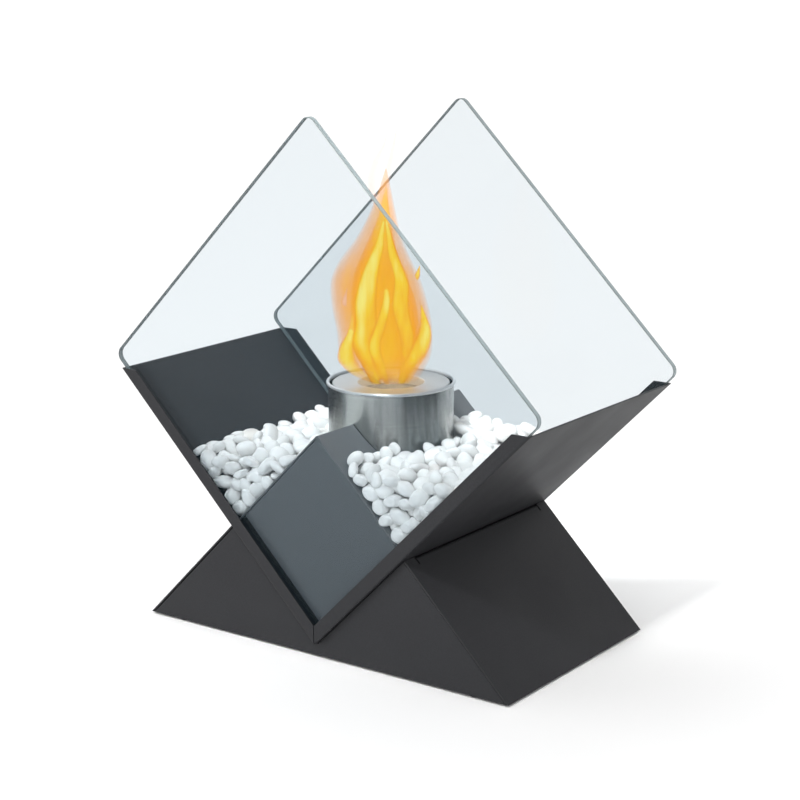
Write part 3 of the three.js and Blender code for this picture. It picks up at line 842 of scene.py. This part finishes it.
def tongue(name, path, depth, flat, rings=48, sides=24):
    """A closed shell along a path of (across, height, half width) in millimetres.

    Its foot and tip bend in from depth, so that tongues rise from the burner's mouth."""
    vertices, faces = [], []
    for ring in range(rings + 1):
        across, height, half = (smooth(values, ring / rings) for values in zip(*path))
        half = max(half, THINNEST)
        leaned = depth * smooth(LEAN, ring / rings)
        centre = TO_RIGHT * across + TO_BACK * leaned + Vector((0, 0, height))
        for side in range(sides):
            angle = 2 * math.pi * side / sides
            out = TO_RIGHT * math.cos(angle) + TO_BACK * flat * math.sin(angle)
            vertices.append(tuple((centre + half * out) / 1000))
    for ring in range(rings):
        for side in range(sides):
            a, b = ring * sides + side, ring * sides + (side + 1) % sides
            faces.append((a, b, b + sides, a + sides))
    faces.append(tuple(range(sides - 1, -1, -1)))
    faces.append(tuple(rings * sides + side for side in range(sides)))
    piece = smooth_piece(name, vertices, faces)
    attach(piece, "burner")
    return piece


# %% [markdown]
# ## Flame finish
# The flame is yellow where it is thick and orange at its outline. The shells emit light and have
# no shine. Stretched noise makes upright streaks, and the view angle tells the middle of a shell
# from its outline. Together they pick the colour, and how much of the shell is seen. Near its
# foot and its tip a flame grows faint as well, so the height over the rim counts too.

# %% Flame finish
FLAME_GLOW = 1.15
FOOT_FADE = (RIM_TOP - 0.002, RIM_TOP + 0.022)
TIP_FADE = (RIM_TOP + 0.085, RIM_TOP + 0.17)


def flame_finish(name, dim, warm, bright, thickest, softness):
    """Glowing streaks from dim to bright, fading towards the outline, foot and tip."""
    finish = Finish(name)
    finish.set(Base_Color=(0, 0, 0, 1), Roughness=1.0, Specular_IOR_Level=0.0)
    finish.set(Emission_Strength=FLAME_GLOW)
    edge_on = finish.add("LayerWeight", {"Blend": 0.5}).outputs["Facing"]
    streaks = finish.noise(70, 3, finish.stretched((1, 1, 0.2)), 0.55)
    glow = finish.maths("SUBTRACT", streaks, edge_on)
    finish.link(finish.ramp(glow, [(0.2, dim), (0.43, warm), (0.62, bright)]), "Emission Color")
    facing_us = finish.span(edge_on, 0.0, 1.0, 1.0, 0.0)
    strength = finish.maths("POWER", facing_us, softness)
    height = finish.one_axis(finish.place, "Z")
    licks = finish.span(streaks, 0.35, 0.6, 0.8, 1.0)
    from_foot = finish.span(height, *FOOT_FADE, 0.3, 1.0)
    to_tip = finish.span(height, *TIP_FADE, thickest, 0.3 * thickest)
    for factor in (licks, from_foot, to_tip):
        strength = finish.maths("MULTIPLY", strength, factor)
    finish.link(strength, "Alpha")
    print(name, "has", len(finish.tree.nodes), "shader nodes")
    return finish


halo = flame_finish("orange halo", (0.95, 0.37, 0.02), (1.0, 0.4, 0.0), (1.0, 0.47, 0.0), 0.85, 2.1)
heart = flame_finish("flame heart", (1.0, 0.33, 0.0), (1.0, 0.5, 0.0), (1.0, 0.7, 0.02), 0.95, 1.6)
yellow = flame_finish(
    "yellow tongue", (1.0, 0.42, 0.0), (1.0, 0.66, 0.02), (1.0, 0.88, 0.2), 0.95, 1.9
)
pale = flame_finish("pale wisp", (1.0, 0.5, 0.34), (1.0, 0.55, 0.4), (1.0, 0.6, 0.45), 0.45, 1.5)

# %% [markdown]
# ## Flame pieces
# A wide orange body holds a brighter heart. Yellow tongues stand before and behind them, so that
# they show in front of the body from every side, and sparks and pale wisps float off the top.
# Each line has a name, a finish, a depth and a flatness, and then the path that the tongue
# follows, as (across, height, half width) in millimetres.

# %% Flame pieces
flame = [
    ("flame_body", halo, 0, 0.52, [
        (2, 210, 20), (-4, 230, 37), (-5, 253, 40), (-9, 276, 40), (-12, 296, 37),
        (-12, 313, 29), (-9, 330, 19), (-6, 350, 11), (-4, 370, 5), (-3, 386, 0.5),
    ]),
    ("flame_heart", heart, 0, 0.5, [
        (-1, 210, 15), (-3, 232, 26), (-4, 255, 28), (-6, 278, 27), (-9, 300, 21),
        (-8, 322, 13), (-5, 344, 6), (-3, 372, 0.5),
    ]),
    ("flame_tongue_left", yellow, -21, 0.5, [
        (-12, 210, 4), (-18, 228, 6), (-24, 246, 8), (-20, 262, 9), (-20, 282, 9),
        (-16, 304, 7), (-9, 326, 4), (-5, 346, 0.5),
    ]),
    ("flame_tongue_low_left", yellow, -17, 0.6, [
        (-12, 210, 4), (-25, 219, 7), (-35, 231, 8), (-36, 243, 6), (-32, 254, 3.5),
        (-31, 268, 0.4),
    ]),
    ("flame_tongue_right", yellow, -20, 0.5, [
        (8, 210, 3), (12, 232, 4), (13, 252, 6), (8, 276, 7), (9, 298, 6), (2, 320, 4),
        (-3, 346, 0.5),
    ]),
    ("flame_tongue_low_right", yellow, -16, 0.6, [
        (11, 210, 4), (16, 226, 8), (24, 242, 8), (28, 257, 5), (25, 276, 0.4),
    ]),
    ("flame_tongue_middle", yellow, -23, 0.5, [
        (-3, 210, 2), (-8, 226, 4), (-13, 244, 5), (-8, 262, 4.5), (-3, 284, 3), (-6, 304, 0.4),
    ]),
    ("flame_tongue_rear_left", yellow, 21, 0.5, [
        (-10, 210, 3), (-14, 236, 5), (-11, 262, 6), (-14, 288, 5), (-9, 318, 3), (-6, 342, 0.4),
    ]),
    ("flame_tongue_rear_right", yellow, 20, 0.5, [
        (10, 210, 3), (14, 232, 5), (14, 254, 5.5), (8, 280, 4), (4, 308, 0.4),
    ]),
    ("flame_spark_right", yellow, -2, 0.8, [(22, 295, 0.3), (22, 299, 2.4), (24, 307, 0.3)]),
    ("flame_spark_left", pale, -26, 0.8, [(-35, 275, 0.3), (-37, 282, 2), (-35, 291, 0.3)]),
    ("flame_wisp_left", pale, 0, 0.8, [
        (-10, 352, 1), (-15, 372, 3.6), (-12, 390, 3), (-5, 404, 1.4), (-2, 414, 0.3),
    ]),
    ("flame_wisp_right", pale, 0, 0.8, [
        (-3, 346, 2), (-5, 366, 4), (-1, 386, 3), (3, 404, 1.6), (6, 418, 0.3),
    ]),
]
for name, finish, depth, flat, path in flame:
    piece = tongue(name, path, depth, flat)
    piece.data.materials.append(finish.material)
print("Flame pieces:", len(flame))

# %% [markdown]
# ## Firelight
# A flame lights what is round it. Light from thin glowing shells is weak and noisy, so a small
# warm point light stands in the burner's mouth. It lights the rim and the nearest stones, but
# isn't seen itself, not in a reflection or through the glass either.

# %% Firelight
FIRELIGHT_HEIGHT = 0.012

fire = bpy.data.lights.new("firelight", "POINT")
fire.energy = 0.5
fire.color = (1.0, 0.72, 0.45)
fire.shadow_soft_size = 0.012
firelight = bpy.data.objects.new("firelight", fire)
bpy.context.collection.objects.link(firelight)
firelight.location = (0, 0, RIM_TOP + FIRELIGHT_HEIGHT)
firelight.visible_camera = False
firelight.visible_glossy = False
firelight.visible_transmission = False
print("Firelight:", fire.energy, "W,", 1000 * FIRELIGHT_HEIGHT, "mm over the rim")
